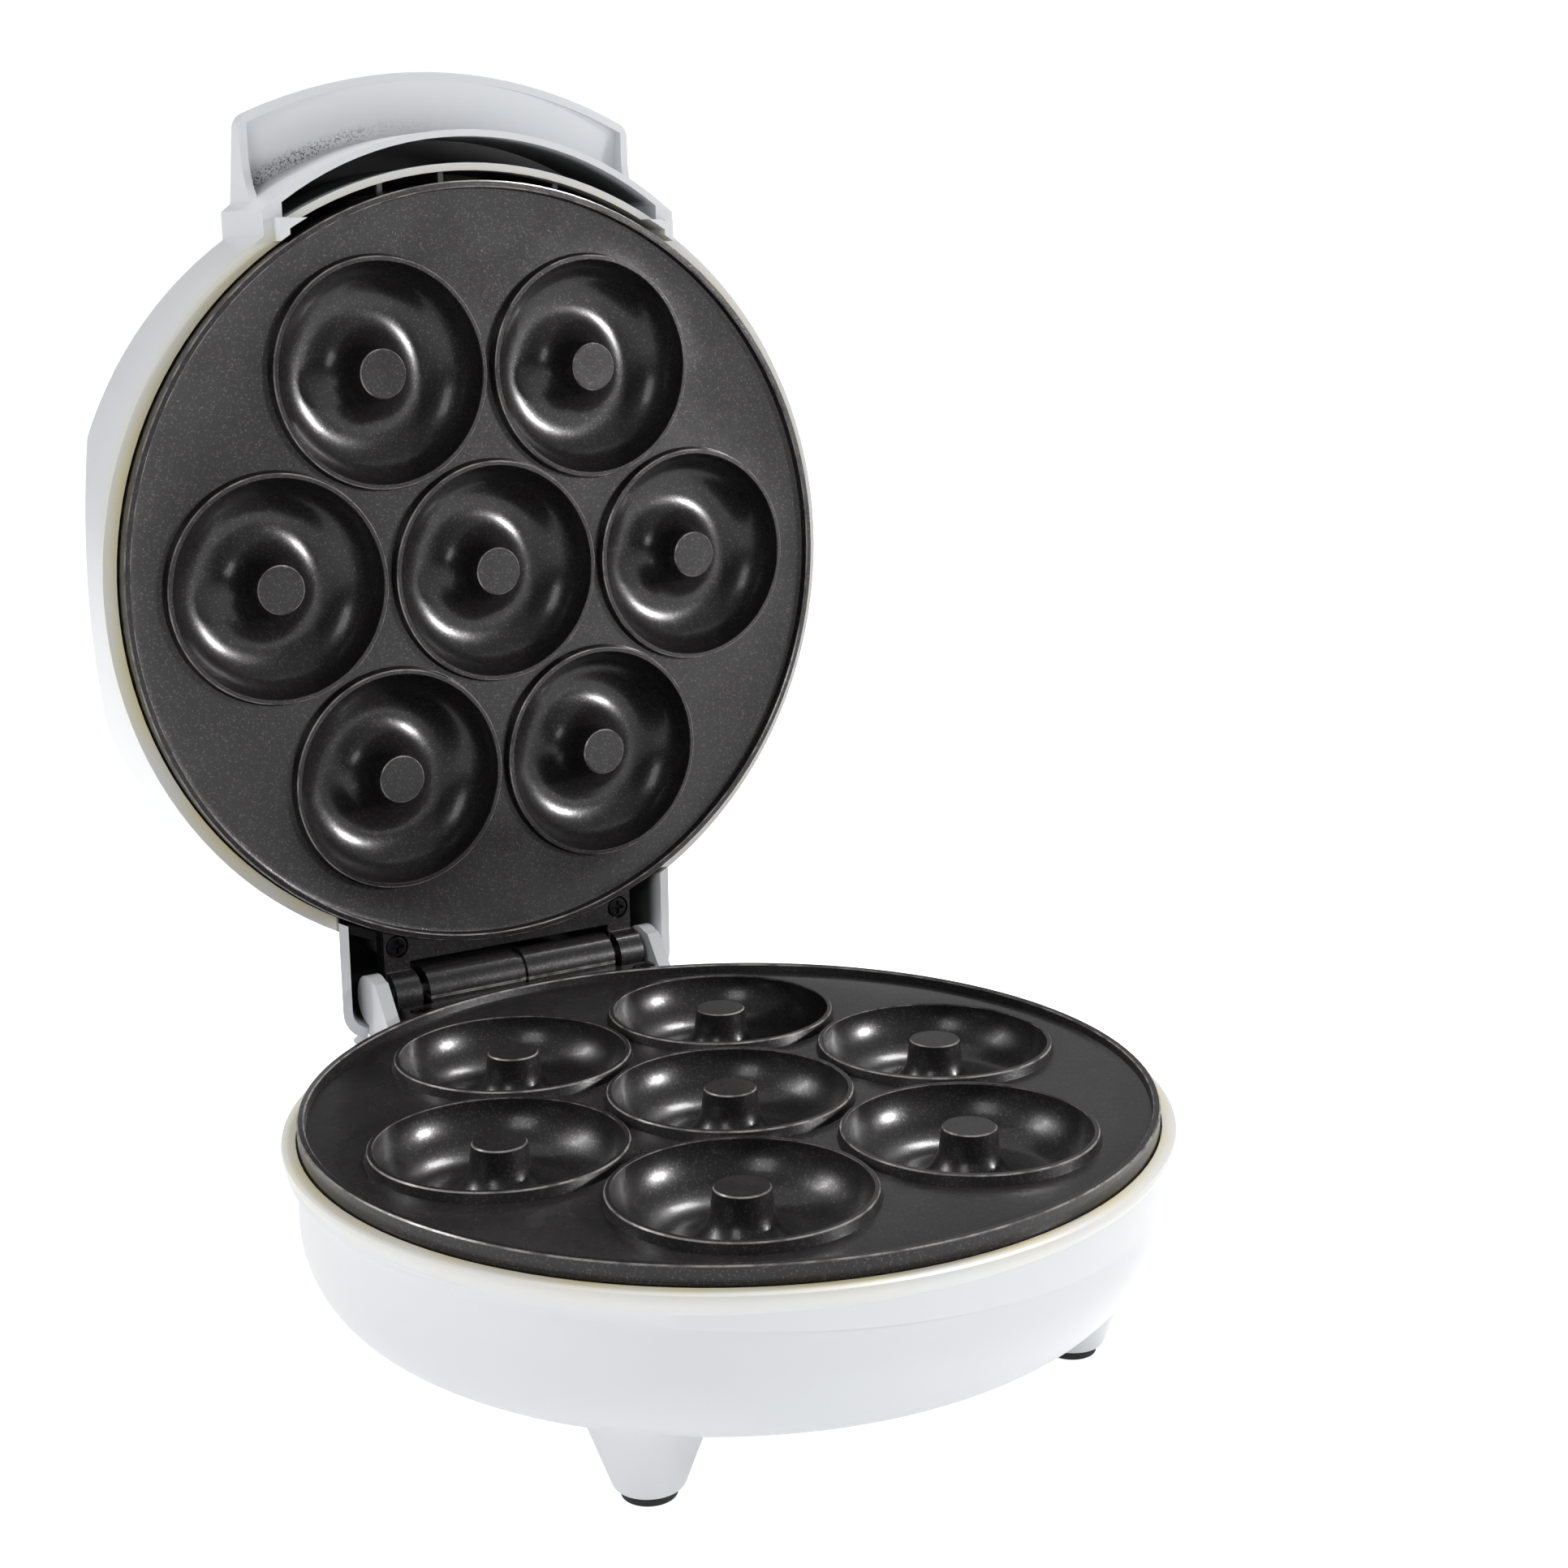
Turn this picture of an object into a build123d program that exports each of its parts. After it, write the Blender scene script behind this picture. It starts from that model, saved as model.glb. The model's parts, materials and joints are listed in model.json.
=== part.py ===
"""Seven-ring donut maker: a hinged pair of round cooking plates in white moulded shells.

Working axes while modelling: X along the hinge, -Y towards the handle, Z up, with Z = 0 at the
parting plane between the two plates and X = Y = 0 at the centre of the plates. The lid is
modelled closed, then swung open about the hinge, which is how the part is stored. At the end
everything moves so that the origin is the bottom centre of the whole open appliance.
"""
import math
import os

from build123d import *

# ---------------------------------------------------------------- driving dimensions (mm)
base_height = 60.0            # worktop to the parting plane
parting_gap = 0.15            # each plate stops this far from the parting plane
lid_open_angle = 90.0         # the hinge stops here

# cooking plates
plate_margin = 9.95           # edge of the plate beyond the outer rings
lip_width = 1.7               # raised lip round the edge of each plate
lip_height = 2.4              # lip and ring height above the plate's floor
web_thickness = 2.8
skirt_depth = 7.5             # edge of the plate, from the lip down
skirt_thickness = 3.2
edge_break = 0.35             # rounded corners of the castings

# donut moulds
ring_spacing = 1.1            # between the feet of neighbouring rings
ring_count = 6                # rings round the middle one
cavity_radius = 27.9
cavity_depth = 12.6
cavity_low_radius = 16.2      # circle of the deepest points
ring_land = 1.15
ring_draft = 0.6
post_top_radius = 5.9
post_neck_radius = 6.7
post_neck_height = 3.6
cup_wall = 2.2

# hinge
hinge_standoff = 3.8          # plate edge to hinge barrel
barrel_radius = 6.7
barrel_half_length = 28.0
barrel_groove = 2.0
groove_depth = 0.6
knuckle_step = 0.2            # the outer knuckles are this much slimmer than the barrels
knuckle_gap = 2.2             # barrel end to knuckle
pin_radius = 2.5
pin_fit = 0.05                # radial clearance in the turning knuckles
press_fit = 0.01
pin_end_gap = 0.6             # pin end to the ears of the base
tab_half_width = 37.5
tab_thickness = 4.8
tab_drop = 1.0                # tabs lie this far below the plate's lip
tab_barrel_gap = 1.7          # back of the tab to the barrels
tab_screw_side = 3.9          # screw centre to the side of the tab
tab_screw_inset = 2.4         # screw centre to the plate's edge, inwards

# fasteners
screw_radius = 1.5
screw_head_radius = 2.8
screw_head_height = 1.8
screw_clearance = 0.05
recess_clearance = 0.4
cross_slot_width = 0.8
cross_slot_depth = 0.9

# shells
shell_wall = 2.4
rim_drop = 4.6                # shell rims stop this far from the parting plane
rim_ledge = 3.0
rim_clearance = 0.4           # plate edge to shell rim
rim_width = 3.4

# base shell
waist_inset = 3.2             # rim to waist of the bowl
waist_top = 14.0
waist_low = 23.0
belly_inset = 16.6            # waist to the start of the flat bottom
belly_depth = 43.0
band_drop = 10.5              # lower edge of the upper styling band
band_shift = 3.4              # the band is an eccentric ring that fades into the wall
band_inset = 1.0
band_heading = 160.0
sweep_inset = 0.2             # second band, with a sloping lower edge
sweep_shift = 1.4
sweep_heading = -40.0
sweep_drop = 16.5
sweep_slope = 3.2

# feet
foot_inset = 20.0             # waist to the circle of the feet
foot_front_angle = 45.0
foot_rear_angle = 52.6
leg_root_radius = 17.6
leg_root_rise = 13.0          # the legs start inside the bowl, this far above its bottom
leg_bottom_radius = 7.5
leg_edge = 1.4
pad_radius = 6.0
pad_height = 4.5
pad_show = 2.3                # rubber that stands below the leg

# hinge housing of the base
housing_side_step = 3.0       # the lid's tail stands out this far beyond the housing
housing_back_gap = 0.8        # hinge barrel to the back of the housing
housing_top_gap = 0.7         # open lid's tail to the housing's top wall
housing_low = 34.0
housing_step = 0.5            # back of the tab to the step in the housing's top
housing_corner = 7.0
tab_seat_gap = 0.2
cheek_gap = 1.9               # knuckle to ear
cheek_width = 3.8
cheek_inset = 3.0             # plate edge to the front of the ear, inwards

# lid shell
lid_top = 38.0                # middle of the lid above the parting plane
lid_edge_top = 34.6           # the same at the rim
lid_shoulder = 4.0
scallop_radius = 75.0         # hollow on each side of the lid's top
scallop_low = 16.6            # lowest point of the hollow, at the rim
scallop_reach = 44.0          # how far it runs in from the rim
slope_inset = 23.8            # rim to where the front of the lid starts to slope down
slope_angle = 12.2

# handle
handle_half_width = 55.5
handle_reach = 24.2           # handle beyond the rim
handle_wall = 2.0
handle_skirt = 23.6           # lower edge of the handle above the parting plane
handle_skirt_radius = 17.0
handle_skirt_inset = 13.3     # rim to where the handle's lower edge meets it
arch_radius = 93.7            # curved wall across the handle's root
pocket_depth = 8.2            # crescent pocket between the front wall and the curved wall
arch_wall = 1.7
arch_overlap = 2.5            # the curved wall runs this far past the handle's sides
front_wall_stand = 0.7        # front wall outside the rim
front_wall = 1.9
rib_thickness = 1.4
rib_places = (-25.0, -8.0, 25.0)

# lid tail over the hinge
tail_side_gap = 6.8           # ear to the side of the tail
tail_back_gap = 3.8           # hinge barrel to the back of the tail
tail_rim = 0.6
tail_height = 25.0
tail_taper = 22.0
tail_wall = 2.0
tail_inner_rise = 9.0

# heating
element_radius = 3.2
element_gap = 0.2
element_gap_angle = 24.0      # the ring is open here for its two ends
element_tail = 9.0
clamp_width = 9.0
clamp_thickness = 1.0
shield_side_gap = 1.4         # shield to the shell's towers
shield_thickness = 0.8
shield_gap = 0.6              # clamps to shield
shield_lip = 5.0
shield_hole = 17.0
shield_screw_inset = 30.0     # plate edge to the circle of the shield's screws
shield_boss_radius = 3.6
shell_screw_inset = 18.0      # plate edge to the circle of the shell's screws
shell_boss_radius = 4.6
tab_boss_radius = 4.2
tab_boss_length = 12.0
boss_depth = 20.0
tower_gap = 0.2

# electrics
thermostat_radius = 8.0
thermostat_height = 9.0
fuse_radius = 2.0
fuse_length = 16.0
terminal_size = (26.0, 14.0, 10.0)
terminal_y = 40.0
wire_radius = 1.3
plug_radius = 5.4             # rubber plug that closes the mains lead's inlet
plug_length = 9.0
plug_flange = 6.8
plug_flange_width = 2.0
inlet_drop = 19.0
lamp_radius = 3.0
lamp_height = 5.0
lamp_show = 0.8
lamp_x = 9.0
lamp_inset = 37.8             # rim to the lamps
lamp_board = (30.0, 12.0, 1.6)

# ---------------------------------------------------------------- worked-out sizes and places
ring_foot_radius = cavity_radius + ring_land + ring_draft
ring_pitch = 2 * ring_foot_radius + ring_spacing
plate_radius = ring_pitch + ring_foot_radius + plate_margin
rim_radius = plate_radius + rim_clearance + rim_width
waist_radius = rim_radius - waist_inset
belly_radius = waist_radius - belly_inset
band_radius = waist_radius - band_inset
sweep_radius = waist_radius - sweep_inset
foot_circle = waist_radius - foot_inset
leg_root_drop = belly_depth - leg_root_rise

hinge_reach = plate_radius + hinge_standoff + barrel_radius
knuckle_radius = barrel_radius - knuckle_step
knuckle_start = barrel_half_length + knuckle_gap
knuckle_end = tab_half_width
tab_back = hinge_reach - barrel_radius - tab_barrel_gap
tab_screw_x = tab_half_width - tab_screw_side
tab_screw_y = plate_radius - tab_screw_inset
cheek_inner = tab_half_width + cheek_gap
cheek_outer = cheek_inner + cheek_width
cheek_radius = barrel_radius
cheek_front = plate_radius - cheek_inset
pin_half_length = cheek_inner - pin_end_gap
tail_half_width = cheek_outer + tail_side_gap
tail_back = hinge_reach + barrel_radius + tail_back_gap
housing_half_width = tail_half_width - housing_side_step
housing_back = hinge_reach + barrel_radius + housing_back_gap
housing_top = barrel_radius + tail_back_gap + housing_top_gap
housing_step_y = tab_back + housing_step

slope_start = rim_radius - slope_inset
handle_front = rim_radius + handle_reach
handle_skirt_back = rim_radius - handle_skirt_inset
front_wall_outer = rim_radius + front_wall_stand
front_wall_inner = front_wall_outer - front_wall
front_half_width = handle_half_width - arch_overlap
arch_half_width = handle_half_width + arch_overlap
arch_centre = front_wall_outer + pocket_depth - arch_radius
shell_screw_circle = plate_radius - shell_screw_inset
shield_screw_circle = plate_radius - shield_screw_inset
shield_radius = shell_screw_circle - shell_boss_radius - shield_side_gap
lamp_y = rim_radius - lamp_inset
lamp_seat = lid_top - (lid_top - lid_edge_top) * (lamp_y / rim_radius) ** 2
slope_top = lid_top - (lid_top - lid_edge_top) * (slope_start / rim_radius) ** 2
beyond = handle_front + 12            # clear of the handle's front
front_zone = plate_radius - 30        # cuts and walls at the front start here
hinge_zone = plate_radius - 40        # cuts for the hinge start here

floor_z = -base_height
lip_z = -parting_gap
plate_floor = lip_z - lip_height
web_under = plate_floor - web_thickness
cup_bottom = lip_z - cavity_depth - cup_wall
pad_top = floor_z + pad_height
leg_bottom = floor_z + pad_show
element_z = cup_bottom - element_gap - element_radius
shield_z = element_z - element_radius - clamp_thickness - shield_gap
boss_end = lip_z - boss_depth
hinge_axis = Axis((0, hinge_reach, 0), (1, 0, 0))
shell_screw_angles = (30, 150, 270)
shield_screw_angles = (90, 210, 330)
slope_rise = math.tan(math.radians(slope_angle))
sides = (-1, 1)


# ---------------------------------------------------------------- small helpers
def turned(*edges):
    """Solid of revolution about Z from a closed outline of (radius, z) edges."""
    return revolve(Plane.XZ * make_face(list(edges)), Axis.Z, 360)


def turned_points(*points):
    """Solid of revolution about Z from a closed outline of (radius, z) points."""
    return turned(Polyline(*points, close=True))


def block(x0, x1, y0, y1, z0, z1):
    """Box between two corners."""
    size = Box(x1 - x0, y1 - y0, z1 - z0)
    return Pos((x0 + x1) / 2, (y0 + y1) / 2, (z0 + z1) / 2) * size


def drum(radius, z0, z1, x=0.0, y=0.0):
    """Upright cylinder."""
    return Pos(x, y, (z0 + z1) / 2) * Cylinder(radius, z1 - z0)


def rod(radius, x0, x1, y, z):
    """Cylinder along X."""
    return Pos((x0 + x1) / 2, y, z) * Rot(0, 90, 0) * Cylinder(radius, x1 - x0)


def side_profile(points, x0, x1):
    """Outline of (y, z) points, extruded along X from x0 to x1."""
    face = Plane.YZ * make_face(Polyline(*points, close=True))
    return Pos(x0, 0, 0) * extrude(face, x1 - x0)


def ring_centres():
    """Centres of the seven donut moulds: one in the middle and six round it."""
    centres = [(0.0, 0.0)]
    for k in range(ring_count):
        angle = 2 * math.pi * k / ring_count
        centres.append((ring_pitch * math.cos(angle), ring_pitch * math.sin(angle)))
    return centres


def circle_places(radius, angles):
    """Points on a circle at the given angles."""
    return [(radius * math.cos(math.radians(a)), radius * math.sin(math.radians(a))) for a in angles]


def flipped(part):
    """Mirror a part of the base in the parting plane, for its twin in the lid."""
    return mirror(part, Plane.XY)


def screw(x, y, seat_z, length, up=1):
    """Pan-head cross screw. Its head stands on the side that `up` gives, its shank goes the other way."""
    head = drum(screw_head_radius, min(seat_z, seat_z + up * screw_head_height),
                max(seat_z, seat_z + up * screw_head_height), x, y)
    head = fillet(head.edges().filter_by(GeomType.CIRCLE).sort_by(Axis.Z)[-1 if up > 0 else 0], 0.5)
    shank = drum(screw_radius, min(seat_z, seat_z - up * length), max(seat_z, seat_z - up * length), x, y)
    top = seat_z + up * screw_head_height
    slot_a = Pos(x, y, top) * Box(2.4 * screw_radius, cross_slot_width, 2 * cross_slot_depth)
    slot_b = Pos(x, y, top) * Box(cross_slot_width, 2.4 * screw_radius, 2 * cross_slot_depth)
    return head + shank - slot_a - slot_b


# ---------------------------------------------------------------- cooking plates
def cup_blank():
    """One donut mould before its cavity is cut: raised ring above, bowl below."""
    ring_outer = cavity_radius + ring_land
    bowl_radius = cavity_radius + cup_wall
    return turned(
        Polyline((0, cup_bottom), (0, lip_z), (ring_outer - edge_break, lip_z),
                 (ring_outer, lip_z - edge_break), (ring_outer + ring_draft, plate_floor),
                 (bowl_radius, plate_floor)),
        EllipticalCenterArc((cavity_low_radius, plate_floor), bowl_radius - cavity_low_radius,
                            plate_floor - cup_bottom, start_angle=-90, arc_size=90),
        Line((cavity_low_radius, cup_bottom), (0, cup_bottom)),
    )


def cup_cavity():
    """Ring-shaped hollow of one mould, round its middle post."""
    low = lip_z - cavity_depth
    neck_z = lip_z - post_neck_height
    above = lip_z + lip_height
    return turned(
        Polyline((post_neck_radius, neck_z), (post_top_radius + edge_break, lip_z - edge_break),
                 (post_top_radius, lip_z), (post_top_radius, above), (cavity_radius, above),
                 (cavity_radius, lip_z)),
        EllipticalCenterArc((cavity_low_radius, lip_z), cavity_radius - cavity_low_radius, cavity_depth,
                            start_angle=-90, arc_size=90),
        EllipticalCenterArc((cavity_low_radius, neck_z), cavity_low_radius - post_neck_radius,
                            neck_z - low, start_angle=180, arc_size=90),
    )


def plate_casting():
    """Round cooking plate with seven moulds, facing up: the same casting serves base and lid."""
    lip_inner = plate_radius - lip_width
    skirt_inner = plate_radius - skirt_thickness
    skirt_low = lip_z - skirt_depth
    plate = turned_points(
        (0, web_under), (0, plate_floor), (lip_inner - lip_width, plate_floor),
        (lip_inner - edge_break, plate_floor + edge_break), (lip_inner, lip_z - edge_break),
        (lip_inner + edge_break, lip_z), (plate_radius - edge_break, lip_z),
        (plate_radius, lip_z - edge_break), (plate_radius, skirt_low), (skirt_inner, skirt_low),
        (skirt_inner, web_under))
    blank = cup_blank()
    cavity = cup_cavity()
    centres = ring_centres()
    plate += [Pos(x, y, 0) * blank for x, y in centres]
    for x, y in circle_places(shield_screw_circle, shield_screw_angles):
        plate += drum(shield_boss_radius, shield_z, web_under, x, y)
    for x, y in circle_places(shell_screw_circle, shell_screw_angles):
        plate += drum(shell_boss_radius, boss_end, web_under, x, y)
    plate -= [Pos(x, y, 0) * cavity for x, y in centres]
    hole = screw_radius + screw_clearance
    for x, y in circle_places(shield_screw_circle, shield_screw_angles):
        plate -= drum(hole, shield_z - 1, shield_z + 10, x, y)
    for x, y in circle_places(shell_screw_circle, shell_screw_angles):
        plate -= drum(hole, boss_end - 1, boss_end + 10, x, y)
    return plate


def hinge_tab(plate, top_z):
    """Add the tab with its two recessed screw holes, whose upper face is at top_z."""
    root = math.sqrt(plate_radius ** 2 - tab_half_width ** 2) - skirt_thickness / 2
    tab = block(-tab_half_width, tab_half_width, root, tab_back, top_z - tab_thickness, top_z)
    tab -= drum(plate_radius - skirt_thickness / 2, top_z - 2 * tab_thickness, top_z + 1)
    plate += tab
    recess = screw_head_radius + recess_clearance
    for side in sides:
        plate -= drum(recess, top_z - screw_head_height, top_z + 1, side * tab_screw_x, tab_screw_y)
        plate -= drum(screw_radius + screw_clearance, top_z - tab_thickness - 1, top_z,
                      side * tab_screw_x, tab_screw_y)
    return plate


def lower_cooking_plate():
    """Base plate: the casting, its tab and the two hinge barrels."""
    top_z = lip_z - tab_drop
    plate = hinge_tab(plate_casting(), top_z)
    plate += rod(barrel_radius - groove_depth, -barrel_half_length, barrel_half_length, hinge_reach, 0)
    for side in sides:
        near, far = sorted((side * barrel_groove / 2, side * barrel_half_length))
        plate += rod(barrel_radius, near, far, hinge_reach, 0)
    plate += block(-barrel_half_length, barrel_half_length, tab_back - 1, hinge_reach,
                   top_z - tab_thickness, top_z)
    plate -= rod(pin_radius + press_fit, -tab_half_width, tab_half_width, hinge_reach, 0)
    return plate


def upper_cooking_plate():
    """Lid plate: the same casting turned over, its tab and the two outer knuckles."""
    top_z = lip_z - tab_drop
    plate = hinge_tab(plate_casting(), top_z)
    for side in sides:
        near, far = sorted((side * knuckle_start, side * knuckle_end))
        plate += block(near, far, tab_back - 1, hinge_reach, top_z - tab_thickness, top_z)
        plate += rod(knuckle_radius, near, far, hinge_reach, 0)
    plate -= rod(pin_radius + pin_fit, -tab_half_width - 1, tab_half_width + 1, hinge_reach, 0)
    return flipped(plate)


def hinge_pin():
    """Steel pin through the barrels and the knuckles."""
    pin = rod(pin_radius, -pin_half_length, pin_half_length, hinge_reach, 0)
    return chamfer(pin.edges().filter_by(GeomType.CIRCLE), 0.4)


# ---------------------------------------------------------------- heating parts, drawn for the base
def heating_element():
    """Open ring of sheathed element below the six outer moulds, with its ends turned down."""
    half_gap = element_gap_angle / 2
    start = circle_places(ring_pitch, (90 + half_gap,))[0]
    path = CenterArc((0, 0, element_z), ring_pitch, 90 + half_gap, 360 - element_gap_angle)
    section = Plane(origin=path @ 0, z_dir=path % 0) * Circle(element_radius)
    ring = sweep(section, path)
    for x in (start[0], -start[0]):
        ring += drum(element_radius, element_z - element_tail, element_z + element_radius, x, start[1])
    return ring


def element_clamps():
    """Three sheet straps that hold the element up against the moulds."""
    straps = []
    width = 2 * (element_radius + 5)
    for angle in (30, 150, 270):
        low = element_z - element_radius
        strap = block(-width / 2, width / 2, -clamp_width / 2, clamp_width / 2, low - clamp_thickness, low)
        straps.append(Rot(0, 0, angle) * Pos(ring_pitch, 0, 0) * strap)
    return Compound(children=straps)


def heat_shield():
    """Dished aluminium reflector under the element, with a hole for the thermostat."""
    top = shield_z
    low = shield_z - shield_thickness
    shield = turned_points(
        (shield_hole, low), (shield_radius, low), (shield_radius, top + shield_lip),
        (shield_radius - shield_thickness, top + shield_lip), (shield_radius - shield_thickness, top),
        (shield_hole, top))
    for x, y in circle_places(shield_screw_circle, shield_screw_angles):
        shield -= drum(screw_radius + screw_clearance, low - 1, top + 1, x, y)
    start = circle_places(ring_pitch, (90 + element_gap_angle / 2,))[0]
    for x in (start[0], -start[0]):
        shield -= drum(element_radius + recess_clearance, low - 1, top + 1, x, start[1])
    return shield


def shield_screws():
    """Three screws that hold the heat shield to the plate's bosses."""
    seat = shield_z - shield_thickness
    places = circle_places(shield_screw_circle, shield_screw_angles)
    return Compound(children=[screw(x, y, seat, 8, up=-1) for x, y in places])


def tab_screws():
    """Two screws in the hinge tab's recesses."""
    seat = lip_z - tab_drop - screw_head_height
    return Compound(children=[screw(side * tab_screw_x, tab_screw_y, seat, 12) for side in sides])


# ---------------------------------------------------------------- base
def base_wall(offset):
    """Bowl of the base as a solid of revolution, moved inwards by offset."""
    waist = waist_radius - offset
    floor = -belly_depth + offset
    low = -waist_low
    rim_z = -rim_drop if offset == 0 else 1.0
    return turned(
        Polyline((0, floor), (0, rim_z), (waist, rim_z), (waist, low)),
        EllipticalCenterArc((belly_radius - offset, low), waist_radius - belly_radius, low - floor,
                            start_angle=-90, arc_size=90),
        Line((belly_radius - offset, floor), (0, floor)),
    )


def heading_shift(distance, angle):
    """Move by a distance in a direction round the base."""
    return Pos(distance * math.cos(math.radians(angle)), distance * math.sin(math.radians(angle)), 0)


def base_bands():
    """Rim flange and the two sweeping styling bands of the base wall."""
    rim = turned_points(
        (waist_radius - 2, -waist_top), (waist_radius - 2, -rim_drop), (rim_radius - 1.0, -rim_drop),
        (rim_radius - 0.25, -rim_drop - 0.35), (rim_radius, -rim_drop - 1.2), (rim_radius - 0.3, -rim_drop - 2.6),
        (waist_radius + 0.4, -band_drop), (waist_radius - 0.2, -waist_top))
    upper = turned_points(
        (band_radius - 8, -band_drop - 3), (band_radius - 8, -rim_drop - 0.5), (band_radius, -rim_drop - 0.5),
        (band_radius + 0.4, -rim_drop - 1.5), (band_radius, -band_drop + 1.0), (band_radius - 0.8, -band_drop),
        (band_radius - 3.4, -band_drop - 3))
    sweep_low = sweep_drop + 12
    lower = turned_points(
        (sweep_radius - 8, -sweep_low), (sweep_radius - 8, -rim_drop - 0.5),
        (sweep_radius + 1.4, -rim_drop - 0.5), (sweep_radius + 1.0, -10), (sweep_radius, -18),
        (sweep_radius - 0.6, -sweep_low))
    slope = Rot(0, sweep_slope, 0) * block(-beyond, beyond, -beyond, beyond, -base_height, 0)
    lower = heading_shift(sweep_shift, sweep_heading) * lower - Pos(0, 0, -sweep_drop) * slope
    return rim + heading_shift(band_shift, band_heading) * upper + lower


def leg(x, y, offset=0.0):
    """Tapered leg under the bowl, or its hollow when offset is the wall."""
    height = -leg_root_drop - leg_bottom
    middle = (-leg_root_drop + leg_bottom) / 2
    cone = Pos(x, y, middle) * Cone(leg_bottom_radius - offset, leg_root_radius - offset, height)
    if offset == 0:
        cone = fillet(cone.edges().filter_by(GeomType.CIRCLE).sort_by(Axis.Z)[0], leg_edge)
    return cone


def foot_places():
    """Names and places of the four feet."""
    (front_x, front_y), (rear_x, rear_y) = circle_places(foot_circle, (foot_front_angle, foot_rear_angle))
    return {
        "front_left": (-front_x, -front_y),
        "front_right": (front_x, -front_y),
        "rear_left": (-rear_x, rear_y),
        "rear_right": (rear_x, rear_y),
    }


def housing(offset):
    """Hinge housing behind the bowl, moved inwards by offset."""
    half = housing_half_width - offset
    top = -housing_top - offset
    body = side_profile(
        [(40, -housing_low + offset), (40, top), (housing_back - offset, top),
         (housing_back - offset, -housing_low + offset + 5), (housing_back - 12 - offset, -housing_low + offset)],
        -half, half)
    corners = body.edges().filter_by(Axis.Z).filter_by(lambda e: e.center().Y > housing_back - 4 - offset)
    return fillet(corners, housing_corner - offset)


def cheek(side):
    """Ear beside the knuckles, which covers the end of the hinge pin."""
    near, far = sorted((side * cheek_inner, side * cheek_outer))
    ear = rod(cheek_radius, near, far, hinge_reach, 0)
    ear += side_profile(
        [(cheek_front - 4, -housing_top - 2), (cheek_front - 4, -rim_drop - 1), (cheek_front + 1, -rim_drop),
         (hinge_reach - cheek_radius + 1.5, cheek_radius - 1.2), (hinge_reach - 3.5, cheek_radius - 0.9),
         (hinge_reach, cheek_radius), (hinge_reach, -housing_top - 2)],
        near, far)
    return ear


def base_shell():
    """One-piece moulded bowl with rim, bands, legs, hinge housing, ears and inner towers."""
    shell = base_wall(0) + base_bands() + housing(0)
    for x, y in foot_places().values():
        shell += leg(x, y)
    hollow = base_wall(shell_wall) + housing(shell_wall)
    for x, y in foot_places().values():
        hollow += leg(x, y, shell_wall) & drum(leg_root_radius, pad_top + shell_wall, 0, x, y)
    shell -= hollow
    # ledge under the plate's edge, which narrows the mouth to the rim clearance
    mouth = plate_radius + rim_clearance
    ledge = turned_points(
        (mouth, -rim_drop), (mouth, -rim_drop - rim_ledge), (waist_radius - shell_wall - 0.5, -housing_top + 1),
        (waist_radius + 0.3, -housing_top + 1), (waist_radius + 0.3, -rim_drop))
    shell += ledge
    skirt_room = lip_z - skirt_depth - rim_clearance
    shell -= drum(mouth, skirt_room, 2)
    # seat for the hinge tab, open above the housing
    seat_z = lip_z - tab_drop - tab_thickness - tab_seat_gap
    for side in sides:
        near, far = sorted((side * (tab_screw_x - 6), side * (tab_half_width + 1.5)))
        shell += block(near, far, tab_screw_y - 5, housing_step_y, -housing_low + 4, seat_z)
        shell += cheek(side)
    shell += block(-housing_half_width, housing_half_width, housing_step_y - shell_wall, housing_step_y,
                   -housing_top - 1, seat_z)
    shell -= block(-tab_half_width - 1, tab_half_width + 1, hinge_zone, hinge_reach + barrel_radius + 1, seat_z, 20)
    shell -= drum(mouth, skirt_room, 20)
    for side in sides:
        shell -= drum(screw_radius + screw_clearance, seat_z - 10, seat_z + 1, side * tab_screw_x, tab_screw_y)
    # towers that carry the plate, and the inlet
    for x, y in circle_places(shell_screw_circle, shell_screw_angles):
        tower = drum(shell_boss_radius, -belly_depth + 1, boss_end - tower_gap, x, y)
        shell += tower
        shell -= drum(screw_radius + screw_clearance, -belly_depth - 1, 0, x, y)
        shell -= drum(screw_head_radius + recess_clearance, -belly_depth - 1, boss_end - 8, x, y)
    for x, y in foot_places().values():
        shell -= drum(pad_radius, leg_bottom - 1, pad_top, x, y)
    inlet = Pos(0, housing_back, -inlet_drop) * Rot(90, 0, 0) * Cylinder(plug_radius, 4 * shell_wall)
    return shell - inlet


def plate_screws():
    """Three long-reach screws that hold the plate to the shell's towers."""
    seat = boss_end - 8
    places = circle_places(shell_screw_circle, shell_screw_angles)
    return Compound(children=[screw(x, y, seat, 16, up=-1) for x, y in places])


def foot_pad(x, y):
    """Rubber plug in the end of a leg."""
    pad = drum(pad_radius, floor_z, pad_top, x, y)
    return fillet(pad.edges().filter_by(GeomType.CIRCLE).sort_by(Axis.Z)[0], 0.6)


def inlet_plug():
    """Rubber plug with a round flange, which closes the inlet in the back of the housing."""
    across = Rot(90, 0, 0)
    plug = Pos(0, housing_back - plug_length / 2 + plug_flange_width, -inlet_drop) * across
    plug = plug * Cylinder(plug_radius, plug_length)
    flange = Pos(0, housing_back + plug_flange_width / 2, -inlet_drop) * across
    plug += flange * Cylinder(plug_flange, plug_flange_width)
    return fillet(plug.edges().filter_by(GeomType.CIRCLE).sort_by(Axis.Y)[-1], 0.6)


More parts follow.
